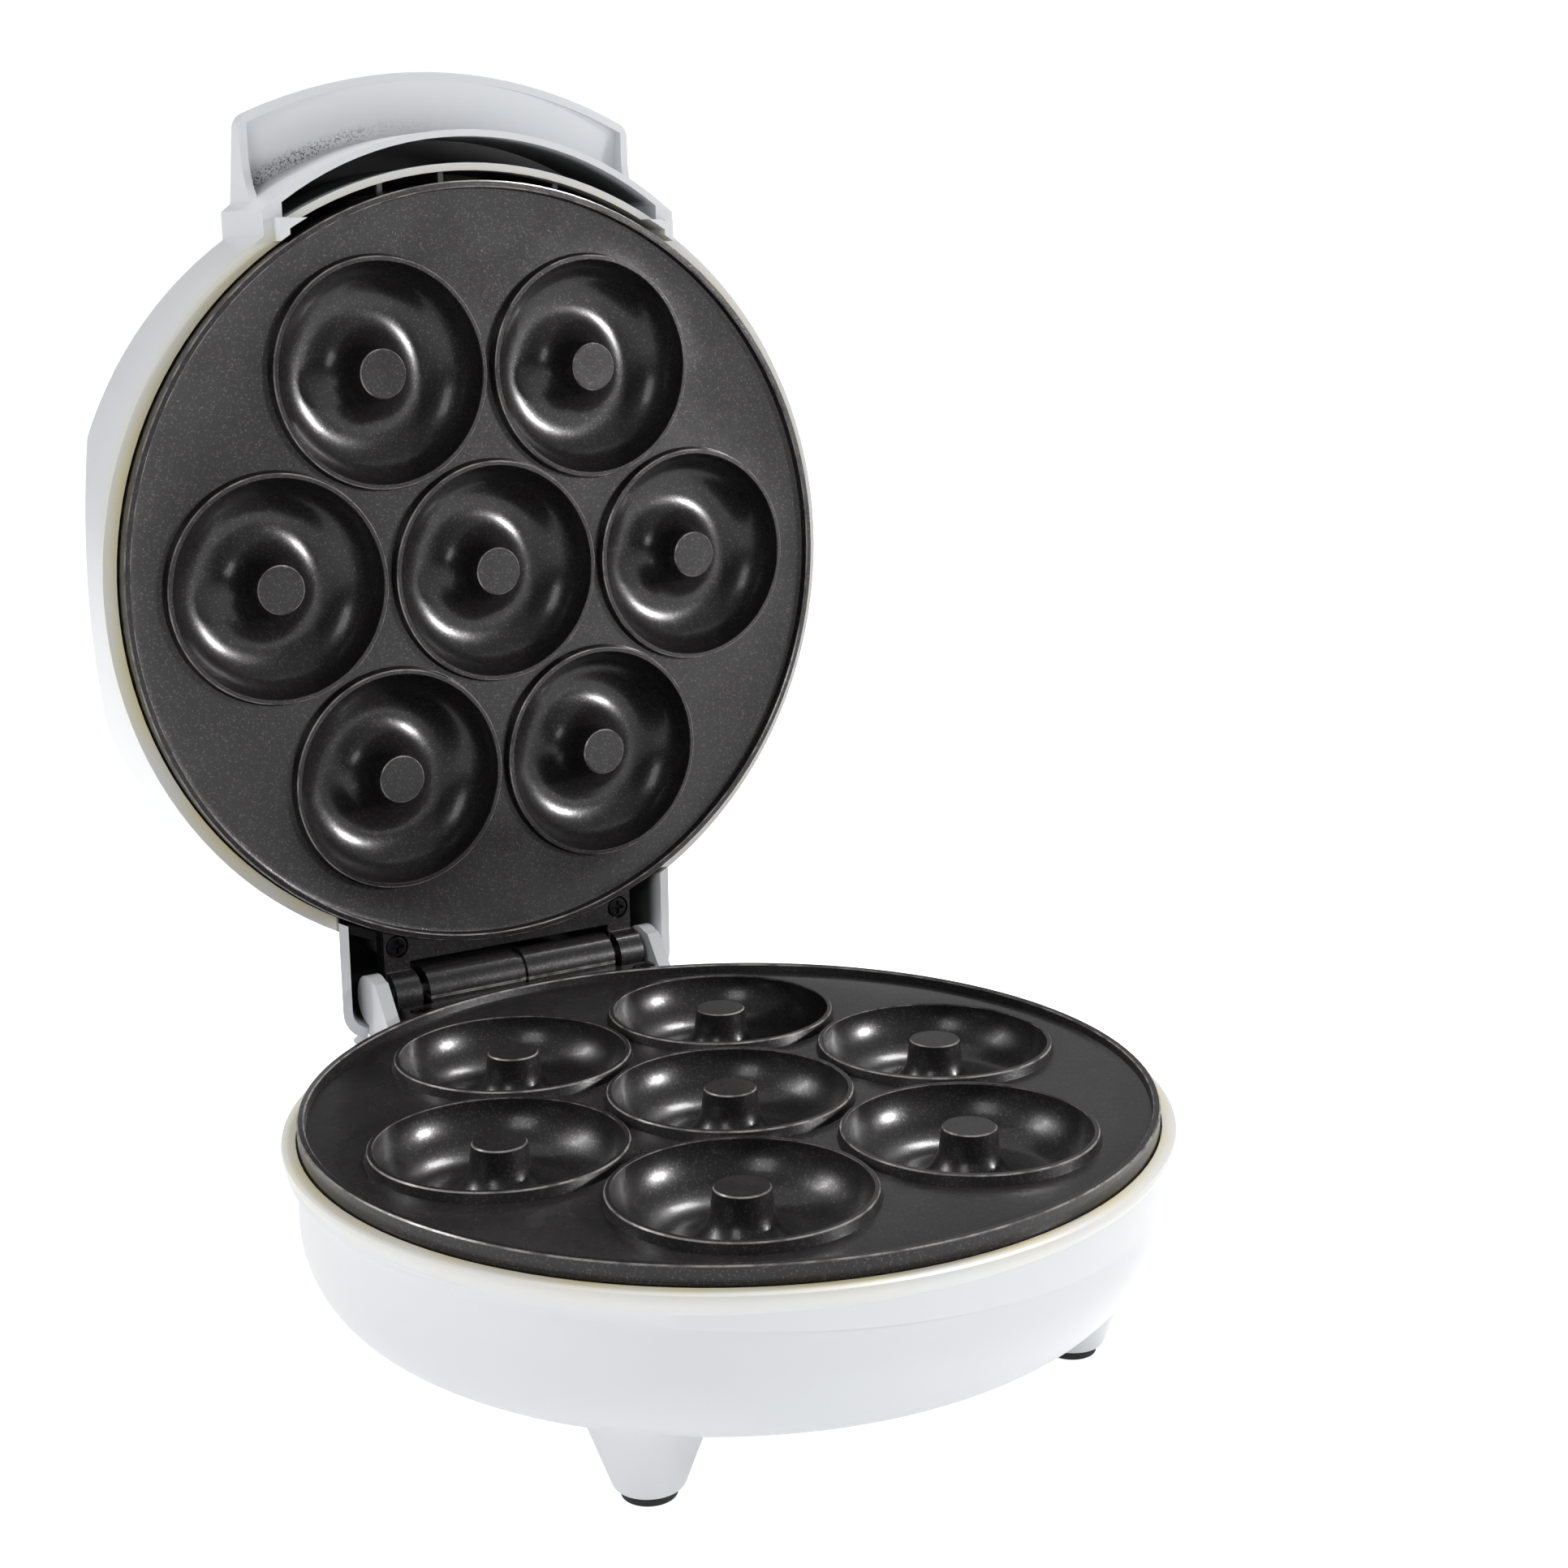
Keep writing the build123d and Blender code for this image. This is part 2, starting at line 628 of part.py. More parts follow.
# ---------------------------------------------------------------- electrics
def thermostat():
    """Snap-disc thermostat against the middle mould, with two tabs."""
    top = cup_bottom - element_gap
    body = drum(thermostat_radius, top - thermostat_height, top)
    for x in (-4, 4):
        body += block(x - 0.4, x + 0.4, -3, 3, top - thermostat_height - 7, top - thermostat_height)
    return body


def thermal_fuse():
    """Thermal fuse in its sleeve, beside the thermostat below the shield."""
    return rod(fuse_radius, -fuse_length / 2, fuse_length / 2, -26, shield_z - shield_thickness - 4)


def terminal_block():
    """Three-way ceramic terminal block on the floor of the base."""
    wide, deep, tall = terminal_size
    floor = -belly_depth + shell_wall
    body = block(-wide / 2, wide / 2, terminal_y - deep / 2, terminal_y + deep / 2, floor, floor + tall)
    for x in (-8, 0, 8):
        body -= Pos(x, terminal_y, floor + tall / 2) * Rot(90, 0, 0) * Cylinder(2, deep + 2)
        body -= drum(1.6, floor + tall - 3, floor + tall + 1, x, terminal_y)
    return body


def wire(points, radius=wire_radius):
    """Insulated wire along straight runs with rounded corners."""
    path = FilletPolyline(*points, radius=4)
    section = Plane(origin=path @ 0, z_dir=path % 0) * Circle(radius)
    return sweep(section, path)


def base_wiring():
    """Leads from the inlet to the terminal block and on towards the thermostat."""
    z = -belly_depth + shell_wall + terminal_size[2] / 2
    block_back = terminal_y + terminal_size[1] / 2
    leads = []
    for x in (-8, 8):
        leads.append(wire([(x / 4, housing_back - 12, -inlet_drop), (x / 4, housing_back - 26, -inlet_drop),
                           (x, block_back + 16, z), (x, block_back, z)]))
        front = terminal_y - terminal_size[1] / 2
        leads.append(wire([(x, front, z), (x, front - 12, z), (x / 2, 14, z), (x / 2, 3.4, z)]))
    return Compound(children=leads)


# ---------------------------------------------------------------- lid, modelled closed
def crown_face(radius, centre_top, low):
    """Half section below the lid's crowned top, out to a radius."""
    fall = (lid_top - lid_edge_top) * (radius / rim_radius) ** 2
    slope = (-1, 2 * fall / radius)
    return make_face([
        Polyline((0, centre_top), (0, low), (radius, low), (radius, centre_top - fall)),
        Spline((radius, centre_top - fall), (0, centre_top), tangents=(slope, (-1, 0))),
    ])


def crown(radius, centre_top, low):
    """Round solid below the lid's crowned top."""
    return revolve(Plane.XZ * crown_face(radius, centre_top, low), Axis.Z, 360)


def lid_dome(offset):
    """Round body of the lid below its top surface, moved inwards by offset."""
    low = rim_drop if offset == 0 else -1.0
    outline = crown_face(rim_radius - offset, lid_top - offset, low)
    corner = outline.vertices().sort_by(Axis.X)[-2:].sort_by(Axis.Y)[-1]
    outline = fillet(corner, lid_shoulder - offset / 2)
    return revolve(Plane.XZ * outline, Axis.Z, 360)


def scallop(side, offset):
    """Long round cutter that hollows one side of the lid's top."""
    angle = math.degrees(math.atan2(lid_top - scallop_low, scallop_reach))
    radius = scallop_radius + offset
    low_point = (side * rim_radius, 0, scallop_low)
    tool = Rot(0, 90, 0) * Cylinder(radius, 4 * rim_radius)
    tool = Rot(0, side * angle, 0) * Pos(0, 0, scallop_radius) * tool
    return Pos(*low_point) * tool


def front_slope(offset):
    """Everything above the sloping front of the lid, to be cut away."""
    start = (-slope_start, slope_top - offset)
    far = (-beyond, start[1] - (beyond - slope_start) * slope_rise)
    near = (-slope_start + 20, start[1] + 20 * slope_rise)
    return side_profile([near, far, (far[0], 2 * lid_top), (near[0], 2 * lid_top)], -beyond, beyond)


def handle_block():
    """Outer form of the handle, with its lower edge cut up from the rim."""
    grip = drum(handle_front, 0, lid_top) & block(
        -handle_half_width, handle_half_width, -beyond, -front_zone, 0, lid_top)
    far = grip.edges().filter_by(Axis.Z).filter_by(lambda e: e.center().Y < -handle_front * 0.8)
    grip = fillet(far, 4.0)
    back = handle_skirt_back + handle_skirt_radius
    low = handle_skirt - handle_skirt_radius
    wide = handle_half_width + 20
    under = block(-wide, wide, -beyond, -back, -5, handle_skirt)
    under += block(-wide, wide, -beyond, -handle_skirt_back, -5, low)
    under += rod(handle_skirt_radius, -wide, wide, -back, low)
    return (grip - under) & crown(handle_front + 5, lid_top, 0)


def handle_hollow():
    """Space under the handle, open downwards, outside the curved wall at its root."""
    half = handle_half_width - handle_wall
    room = drum(handle_front - handle_wall, -2, lid_top) & block(-half, half, -beyond, -front_zone, -2, lid_top)
    room -= drum(arch_radius, -3, lid_top + 1, 0, -arch_centre)
    room -= drum(rim_radius, -3, lid_top + 1)
    return (room - front_slope(shell_wall)) & crown(handle_front + 5, lid_top - shell_wall, -3)


def arch():
    """Curved wall across the handle's root, with the crescent pocket behind it."""
    wall = drum(arch_radius, rim_drop, lid_top - 5, 0, -arch_centre)
    wall &= block(-arch_half_width, arch_half_width, -beyond, -front_zone, 0, lid_top)
    wall += drum(front_wall_outer, rim_drop, lid_top - 5) & block(
        -arch_half_width, arch_half_width, -beyond, -front_zone, 0, lid_top)
    pocket = drum(arch_radius - arch_wall, -2, lid_top, 0, -arch_centre)
    pocket -= drum(front_wall_outer, -3, lid_top + 1)
    pocket &= block(-front_half_width, front_half_width, -beyond, -front_zone, -2, lid_top)
    return wall, pocket - front_slope(shell_wall)


def tail(offset):
    """Rounded hump over the hinge, moved inwards by offset."""
    half = tail_half_width - offset
    back = tail_back - offset
    plan = Pos(0, (back + 20) / 2) * RectangleRounded(2 * half, back - 20, 8 - offset)
    low = tail_rim if offset == 0 else -1.0
    rise = tail_height - offset - low
    return Pos(0, 0, low) * extrude(plan, rise, taper=tail_taper)


def lid_shell():
    """One-piece moulded lid with handle, arch, tail over the hinge and inner towers."""
    arch_solid, pocket = arch()
    shell = lid_dome(0) + handle_block() + arch_solid
    shell -= front_slope(0)
    for side in sides:
        shell -= scallop(side, 0)
    shell += tail(0) - drum(rim_radius - 6, -1, 60)
    room = lid_dome(shell_wall) - front_slope(shell_wall)
    for side in sides:
        room -= scallop(side, shell_wall)
    shell -= room
    shell -= handle_hollow()
    shell -= pocket
    shell -= tail(tail_wall) - drum(rim_radius, tail_inner_rise, 60)
    # rim ledge round the plate, left out at the front wall and at the hinge
    mouth = plate_radius + rim_clearance
    ledge = turned_points((mouth, rim_drop), (rim_radius - 0.5, rim_drop), (rim_radius - 0.5, rim_drop + 5),
                          (rim_radius - shell_wall - 0.3, rim_drop + 5), (mouth, rim_drop + rim_ledge))
    ledge -= block(-front_half_width, front_half_width, -beyond, -front_zone, 0, 20)
    ledge -= block(-tail_half_width + tail_wall, tail_half_width - tail_wall, hinge_zone, beyond, 0, 20)
    shell += ledge
    shell -= drum(front_wall_inner, -2, lid_top - 8) & block(
        -front_half_width, front_half_width, -beyond, -front_zone, -2, lid_top)
    shell = shell - drum(mouth, -2, rim_drop + rim_ledge)
    # ribs in the gap between the plate and the front wall
    for x in rib_places:
        reach = math.sqrt(front_wall_outer ** 2 - x ** 2)
        shell += block(x - rib_thickness / 2, x + rib_thickness / 2, -reach + 0.6, -reach + 5,
                       rim_drop + rim_ledge + 1.5, lid_top - 10)
    # towers that carry the plate
    for x, y in circle_places(shell_screw_circle, shell_screw_angles):
        shell += drum(shell_boss_radius, -boss_end + tower_gap, lid_top, x, -y) & lid_dome(shell_wall / 2)
        shell -= drum(screw_radius + screw_clearance, -boss_end - 1, -boss_end + 8, x, -y)
    # bosses for the two screws of the hinge tab
    seat_z = -(lip_z - tab_drop - tab_thickness - tab_seat_gap)
    for side in sides:
        x, y = side * tab_screw_x, tab_screw_y
        post = drum(tab_boss_radius, seat_z, seat_z + tab_boss_length, x, y)
        shell += post - drum(mouth, 0, skirt_depth + parting_gap + rim_clearance)
        shell -= drum(screw_radius + screw_clearance, seat_z - 1, seat_z + tab_boss_length - 2, x, y)
    for side in sides:
        shell -= drum(lamp_radius + press_fit, lid_top - 8, lid_top + 2, side * lamp_x, -lamp_y)
    return shell


def lamp(side):
    """Small round lens in the lid's top."""
    top = lamp_seat + lamp_show
    lens = drum(lamp_radius, top - lamp_height, top, side * lamp_x, -lamp_y)
    return fillet(lens.edges().filter_by(GeomType.CIRCLE).sort_by(Axis.Z)[-1], 0.5)


def lamp_carrier():
    """Small board behind the two lamps."""
    wide, deep, thick = lamp_board
    top = lamp_seat + lamp_show - lamp_height
    return block(-wide / 2, wide / 2, -lamp_y - deep / 2, -lamp_y + deep / 2, top - thick, top)


def lid_wiring():
    """Leads from the lamps' board back towards the hinge, between the shield and the lid's top."""
    z = lid_top - 9.5
    return Compound(children=[
        wire([(x, -lamp_y + lamp_board[1] / 2, z), (x, -20, z), (1.4 * x, 30, z), (1.4 * x, 84, z)])
        for x in (-5, 5)])


# ---------------------------------------------------------------- assembly
def opened(part):
    """Swing a part of the lid from closed to its open rest position."""
    return part.rotate(hinge_axis, -lid_open_angle)


base_parts = {
    "base_shell": base_shell(),
    "lower_cooking_plate": lower_cooking_plate(),
    "hinge_pin": hinge_pin(),
    "lower_heating_element": heating_element(),
    "lower_element_clamps": element_clamps(),
    "lower_heat_shield": heat_shield(),
    "lower_shield_screws": shield_screws(),
    "lower_tab_screws": tab_screws(),
    "lower_plate_screws": plate_screws(),
    "thermostat": thermostat(),
    "thermal_fuse": thermal_fuse(),
    "terminal_block": terminal_block(),
    "base_wiring": base_wiring(),
    "inlet_plug": inlet_plug(),
}
for place, (foot_px, foot_py) in foot_places().items():
    base_parts[f"foot_pad_{place}"] = foot_pad(foot_px, foot_py)

lid_parts = {
    "lid_shell": lid_shell(),
    "upper_cooking_plate": upper_cooking_plate(),
    "upper_heating_element": flipped(heating_element()),
    "upper_element_clamps": flipped(element_clamps()),
    "upper_heat_shield": flipped(heat_shield()),
    "upper_shield_screws": flipped(shield_screws()),
    "upper_tab_screws": flipped(tab_screws()),
    "power_lamp_lens": lamp(-1),
    "ready_lamp_lens": lamp(1),
    "lamp_board": lamp_carrier(),
    "lid_wiring": lid_wiring(),
}

nodes = dict(base_parts)
nodes.update({name: opened(part) for name, part in lid_parts.items()})

boxes = [part.bounding_box() for part in nodes.values()]
front = min(box.min.Y for box in boxes)
back = max(box.max.Y for box in boxes)
shift_y = -(front + back) / 2
home = Pos(0, shift_y, base_height)

os.makedirs("parts", exist_ok=True)
for name, part in nodes.items():
    export_step(home * part, os.path.join("parts", name + ".step"))

print("moved back by", shift_y, "and up by", base_height)
print("hinge axis at y", hinge_reach + shift_y, "z", base_height)
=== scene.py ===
"""Looks of a seven-ring donut maker: moulded white shells, coated cooking plates and small hardware.

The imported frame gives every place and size. Each moulded or cast piece starts from its frame node,
is welded and shaded smooth, and is then dressed with a procedural finish.
"""
import json
import logging
import math
from dataclasses import dataclass, field
from enum import Enum
from typing import Any, Optional

import bpy
from mathutils import Matrix, Vector


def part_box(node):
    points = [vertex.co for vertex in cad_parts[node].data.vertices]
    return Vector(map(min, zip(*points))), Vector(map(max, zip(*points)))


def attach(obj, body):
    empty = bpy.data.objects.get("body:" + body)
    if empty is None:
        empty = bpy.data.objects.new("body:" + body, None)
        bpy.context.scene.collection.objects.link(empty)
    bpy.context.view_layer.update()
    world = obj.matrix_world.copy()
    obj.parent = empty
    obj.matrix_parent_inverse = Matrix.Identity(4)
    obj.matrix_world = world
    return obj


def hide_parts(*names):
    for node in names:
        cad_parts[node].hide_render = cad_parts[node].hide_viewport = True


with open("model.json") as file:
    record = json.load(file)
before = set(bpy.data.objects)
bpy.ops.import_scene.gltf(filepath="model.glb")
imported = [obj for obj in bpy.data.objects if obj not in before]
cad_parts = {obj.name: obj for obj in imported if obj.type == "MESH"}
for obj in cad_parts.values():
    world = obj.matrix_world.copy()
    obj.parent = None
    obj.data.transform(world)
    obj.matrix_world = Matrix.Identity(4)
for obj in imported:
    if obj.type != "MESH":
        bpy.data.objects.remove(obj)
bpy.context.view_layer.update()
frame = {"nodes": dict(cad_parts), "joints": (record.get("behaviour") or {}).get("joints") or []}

LOG = logging.getLogger("donut_maker")
MM = 0.001


class Body(Enum):
    """The two rigid bodies of the appliance."""

    BASE = "base"
    LID = "lid"


class Facing(Enum):
    """Which way a plate or shell opens at rest, as the index of the axis of its parting plane."""

    UP = 2
    FRONT = 1


# ---------------------------------------------------------------- small helpers
def linear(code: str, alpha: float = 1.0) -> tuple[float, float, float, float]:
    """Turn an sRGB hex colour into linear values.

    Args:
        code: six hex digits, with or without a leading hash.
        alpha: opacity of the colour.

    Returns:
        Linear red, green, blue and the alpha.
    """
    digits = code.lstrip("#")
    parts = [int(digits[i:i + 2], 16) / 255 for i in (0, 2, 4)]
    red, green, blue = [p / 12.92 if p <= 0.04045 else ((p + 0.055) / 1.055) ** 2.4 for p in parts]
    return (red, green, blue, alpha)


def add_node(tree: bpy.types.NodeTree, kind: str, settings: Optional[dict[str, Any]] = None,
             **inputs: Any) -> bpy.types.Node:
    """Add a shader node with its settings, values and links.

    Args:
        tree: node tree that takes the node.
        kind: the node's type name, without the common prefix.
        settings: properties of the node.
        inputs: socket values or output sockets to link, by socket name with spaces as underscores,
            or by position as s0, s1 and so on.

    Returns:
        The new node.
    """
    node = tree.nodes.new("ShaderNode" + kind)
    for name, value in (settings or {}).items():
        setattr(node, name, value)
    for name, value in inputs.items():
        position = name[1:]
        socket = node.inputs[int(position)] if position.isdigit() else node.inputs[name.replace("_", " ")]
        if isinstance(value, bpy.types.NodeSocket):
            tree.links.new(value, socket)
        else:
            socket.default_value = value
    return node


def deselect() -> None:
    """Deselect every object."""
    bpy.ops.object.select_all(action="DESELECT")


def activate(obj: bpy.types.Object) -> None:
    """Make one object the only selected and active one."""
    deselect()
    obj.select_set(True)
    bpy.context.view_layer.objects.active = obj


def remap(tree: bpy.types.NodeTree, value: bpy.types.NodeSocket, low: float, high: float,
          out_low: float = 0.0, out_high: float = 1.0) -> bpy.types.NodeSocket:
    """Map a value from one range to another with clamping and a smooth step.

    Args:
        tree: node tree that takes the node.
        value: socket that is mapped.
        low: start of its range.
        high: end of its range.
        out_low: result at the start.
        out_high: result at the end.

    Returns:
        The mapped value.
    """
    node = add_node(tree, "MapRange", {"interpolation_type": "SMOOTHSTEP"}, Value=value, From_Min=low,
                    From_Max=high, To_Min=out_low, To_Max=out_high)
    return node.outputs["Result"]


def maths(tree: bpy.types.NodeTree, operation: str, first: Any, second: Any = 0.0) -> bpy.types.NodeSocket:
    """Combine two values."""
    return add_node(tree, "Math", {"operation": operation}, s0=first, s1=second).outputs[0]


def noise(tree: bpy.types.NodeTree, place: bpy.types.NodeSocket, size_mm: float,
          detail: float = 2.0, roughness: float = 0.5) -> bpy.types.NodeSocket:
    """Noise whose lumps are about size_mm across.

    Args:
        tree: node tree that takes the node.
        place: coordinates in metres.
        size_mm: size of a lump.
        detail: number of finer layers.
        roughness: strength of the finer layers.

    Returns:
        A value round one half.
    """
    node = add_node(tree, "TexNoise", None, Vector=place, Scale=1 / (size_mm * MM), Detail=detail,
                    Roughness=roughness)
    return node.outputs[0]


def blend_colour(tree: bpy.types.NodeTree, factor: Any, first: Any, second: Any) -> bpy.types.NodeSocket:
    """Mix two colours by a factor."""
    node = add_node(tree, "Mix", {"data_type": "RGBA"})
    for position, value in ((0, factor), (6, first), (7, second)):
        if isinstance(value, bpy.types.NodeSocket):
            tree.links.new(value, node.inputs[position])
        else:
            node.inputs[position].default_value = value
    return node.outputs[2]


# ---------------------------------------------------------------- finishes
@dataclass(frozen=True)
class Finish:
    """A surface finish: its slot in the record and how its material is made."""

    name: str
    slot: str

    def start(self) -> tuple[bpy.types.NodeTree, bpy.types.Node, bpy.types.NodeSocket]:
        """Begin a node material.

        Returns:
            The tree, its Principled shader and the Object coordinates.
        """
        material = bpy.data.materials.new(self.name)
        material.use_nodes = True
        tree = material.node_tree
        shader = next(n for n in tree.nodes if n.type == "BSDF_PRINCIPLED")
        place = add_node(tree, "TexCoord").outputs["Object"]
        return tree, shader, place

    def material(self) -> bpy.types.Material:
        """Give the finish's material, made on its first use."""
        if self.name not in bpy.data.materials:
            self.paint()
        return bpy.data.materials[self.name]

    def paint(self) -> None:
        """Make the material; each finish has its own way."""
        raise NotImplementedError


def bump(tree: bpy.types.NodeTree, shader: bpy.types.Node, height: Any, distance_mm: float,
         strength: float = 1.0) -> None:
    """Drive a shader's normal with a height that stands for distance_mm."""
    node = add_node(tree, "Bump", None, Strength=strength, Distance=distance_mm * MM, Height=height)
    tree.links.new(node.outputs["Normal"], shader.inputs["Normal"])


@dataclass(frozen=True)
class MouldedWhite(Finish):
    """Injection-moulded white ABS with a satin gloss.

    Its gloss varies a little in patches, and it is cream along the rim beside the hot plate. On the
    lid, the recesses carry painted shade in near black, and crumbs lie in the crease of the handle.
    """

    facing: Facing = Facing.UP
    rim_level: float = 0.0
    centre: tuple[float, float] = (0.0, 0.0)
    recesses: bool = False

    def paint(self) -> None:
        """Milky white with cream rims and slightly uneven gloss."""
        tree, shader, place = self.start()
        axes = add_node(tree, "SeparateXYZ", None, Vector=place).outputs
        along = axes[self.facing.value]
        across = axes[1] if self.facing is Facing.UP else axes[2]
        offset = maths(tree, "SUBTRACT", across, self.centre[1])
        radius = maths(tree, "SQRT", maths(tree, "ADD", maths(tree, "POWER", axes[0], 2.0),
                                           maths(tree, "POWER", offset, 2.0)))
        depth = maths(tree, "ABSOLUTE", maths(tree, "SUBTRACT", along, self.rim_level))
        near_rim = remap(tree, depth, 1.0 * MM, 5.5 * MM, 1.0, 0.0)
        near_plate = remap(tree, radius, 99.0 * MM, 105.5 * MM, 1.0, 0.0)
        patches = noise(tree, place, 26.0, 3.0)
        uneven = remap(tree, patches, 0.3, 0.7, 0.35, 1.0)
        warm = maths(tree, "MULTIPLY", maths(tree, "MULTIPLY", near_rim, near_plate), uneven)
        body = blend_colour(tree, noise(tree, place, 60.0), linear("D2D5D8"), linear("D7D8DB"))
        colour = blend_colour(tree, warm, body, linear("DDD09C"))
        # On the lid, paint near-black shade into the recesses, then lay crumbs along the handle's crease.
        if self.recesses:
            colour = self.speckled(tree, place, axes, self.shaded(tree, axes, colour))
        tree.links.new(colour, shader.inputs["Base Color"])
        dull = remap(tree, noise(tree, place, 30.0, 2.0), 0.3, 0.7, 0.29, 0.33)
        tree.links.new(dull, shader.inputs["Roughness"])
        shader.inputs["IOR"].default_value = 1.5

    def arch_radius(self, tree: bpy.types.NodeTree, axes: Any) -> bpy.types.NodeSocket:
        """Distance from the axis of the curved wall across the handle's root."""
        offset = maths(tree, "SUBTRACT", axes[2], self.centre[1] + ARCH_RISE)
        return maths(tree, "SQRT", maths(tree, "ADD", maths(tree, "POWER", axes[0], 2.0),
                                         maths(tree, "POWER", offset, 2.0)))

    def upper_part(self, tree: bpy.types.NodeTree, axes: Any) -> bpy.types.NodeSocket:
        """1 in the handle's half of the open lid, 0 in the hinge's half."""
        return remap(tree, axes[2], self.centre[1] + 40 * MM, self.centre[1] + 46 * MM)

    def inner(self, tree: bpy.types.NodeTree) -> bpy.types.NodeSocket:
        """1 on surfaces that don't face the outside of the lid's top, 0 on those that do."""
        facing = add_node(tree, "SeparateXYZ", None, Vector=add_node(tree, "TexCoord").outputs["Normal"])
        return remap(tree, facing.outputs[self.facing.value], 0.03, 0.15, 1.0, 0.0)

    def shaded(self, tree: bpy.types.NodeTree, axes: Any,
               clean: bpy.types.NodeSocket) -> bpy.types.NodeSocket:
        """Paint shade in near black into the recesses: the root pocket, the rim gap and the tail's hollow.

        Args:
            tree: the material's node tree.
            axes: the three Object coordinates.
            clean: colour outside the recesses.

        Returns:
            The colour with painted shade in the recesses.
        """
        arch = self.arch_radius(tree, axes)
        deep = remap(tree, axes[1], self.rim_level + 0.6 * MM, self.rim_level + 6.5 * MM)
        above = self.upper_part(tree, axes)
        inside = remap(tree, arch, ARCH_RADIUS - 1.9 * MM, ARCH_RADIUS - 1.2 * MM, 1.0, 0.0)
        middle = remap(tree, maths(tree, "ABSOLUTE", axes[0]), 51 * MM, 52.5 * MM, 1.0, 0.0)
        pocket = maths(tree, "MULTIPLY", maths(tree, "MULTIPLY", inside, above), middle)
        low = remap(tree, axes[2], PARTING_Z + 22 * MM, PARTING_Z + 30 * MM, 1.0, 0.0)
        low = maths(tree, "MULTIPLY", low, remap(tree, axes[2], TAIL_LEVEL - 1.2 * MM, TAIL_LEVEL - 0.4 * MM))
        level = remap(tree, axes[1], PARTING_Y + 0.5 * MM, PARTING_Y + 5 * MM)
        width = remap(tree, maths(tree, "ABSOLUTE", axes[0]), TAIL_INSIDE + 0.2 * MM,
                      TAIL_INSIDE + 1.2 * MM, 1.0, 0.0)
        hollow = maths(tree, "MULTIPLY", maths(tree, "MULTIPLY", low, width), level)
        amount = maths(tree, "MAXIMUM", maths(tree, "MULTIPLY", pocket, deep), hollow)
        amount = maths(tree, "MULTIPLY", amount, self.inner(tree))
        # Painted shade: a near-black colour over the root pocket, the rim gap and the tail's hollow.
        return blend_colour(tree, maths(tree, "MULTIPLY", amount, 0.96), clean, linear("201F20"))

    def speckled(self, tree: bpy.types.NodeTree, place: bpy.types.NodeSocket, axes: Any,
                 clean: bpy.types.NodeSocket) -> bpy.types.NodeSocket:
        """Lay dark crumbs along the crease between the handle's hollow and the curved wall.

        Args:
            tree: the material's node tree.
            place: Object coordinates.
            axes: the same coordinates, one by one.
            clean: colour without crumbs.

        Returns:
            The colour with crumbs.
        """
        arch = self.arch_radius(tree, axes)
        deep = remap(tree, axes[1], self.rim_level + 14 * MM, self.rim_level + 19 * MM)
        band = remap(tree, maths(tree, "ABSOLUTE", maths(tree, "SUBTRACT", arch, ARCH_RADIUS + 1.8 * MM)),
                     0.3 * MM, 3.0 * MM, 1.0, 0.0)
        side = maths(tree, "MULTIPLY", remap(tree, axes[0], -50.0 * MM, 6.0 * MM, 1.0, 0.0),
                     remap(tree, axes[0], -54.0 * MM, -53.6 * MM))
        crumbs = remap(tree, noise(tree, place, 0.55, 3.0, 0.7), 0.51, 0.57)
        drifts = remap(tree, noise(tree, place, 7.0, 2.0), 0.30, 0.50, 0.35, 1.0)
        deep = maths(tree, "MULTIPLY", maths(tree, "MULTIPLY", deep, self.upper_part(tree, axes)),
                     self.inner(tree))
        amount = maths(tree, "MULTIPLY", maths(tree, "MULTIPLY", maths(tree, "MULTIPLY", band, side), deep),
                       maths(tree, "MULTIPLY", crumbs, drifts))
        return blend_colour(tree, amount, clean, linear("2E3036"))


@dataclass(frozen=True)
class NonStick(Finish):
    """Sprayed non-stick coating on cast aluminium: charcoal with fine metal flake.

    The flake sparkles where light grazes it, the spray leaves a faint orange peel, and use has worn
    the sharpest edges to a thin bright line.
    """

    facing: Facing = Facing.UP
    level: float = 0.0

    def paint(self) -> None:
        """Charcoal body, metal flake, orange peel and worn edges."""
        tree, shader, place = self.start()
        along = add_node(tree, "SeparateXYZ", None, Vector=place).outputs[self.facing.value]
        depth = maths(tree, "ABSOLUTE", maths(tree, "SUBTRACT", along, self.level))
        edge = maths(tree, "MULTIPLY", remap(tree, depth, 0.02 * MM, 0.10 * MM),
                     remap(tree, depth, 0.25 * MM, 0.5 * MM, 1.0, 0.0))
        cells = add_node(tree, "TexVoronoi", {"feature": "F1"}, Vector=place, Scale=1 / (0.34 * MM))
        pick = add_node(tree, "SeparateColor", None, s0=cells.outputs["Color"]).outputs
        flake = remap(tree, pick[0], 0.80, 1.0)
        tone = blend_colour(tree, noise(tree, place, 35.0), linear("151415"), linear("1C1A1B"))
        flecked = blend_colour(tree, maths(tree, "MULTIPLY", flake, 0.4), tone, linear("6A6668"))
        worn = maths(tree, "MULTIPLY", edge, remap(tree, noise(tree, place, 5.0, 3.0), 0.35, 0.6, 0.3, 1.0))
        colour = blend_colour(tree, maths(tree, "MULTIPLY", worn, 0.6), flecked, linear("9A9794"))
        tree.links.new(colour, shader.inputs["Base Color"])
        metal = maths(tree, "ADD", maths(tree, "MULTIPLY", flake, 0.6), 0.25)
        tree.links.new(metal, shader.inputs["Metallic"])
        rough = remap(tree, noise(tree, place, 12.0, 3.0), 0.3, 0.7, 0.25, 0.30)
        tree.links.new(rough, shader.inputs["Roughness"])
        shader.inputs["IOR"].default_value = 1.42
        shader.inputs["Coat Weight"].default_value = 0.2
        shader.inputs["Coat Roughness"].default_value = 0.14
        height = maths(tree, "ADD", noise(tree, place, 0.6, 2.0),
                       maths(tree, "MULTIPLY", pick[1], 0.35))
        bump(tree, shader, height, 0.02, 0.5)


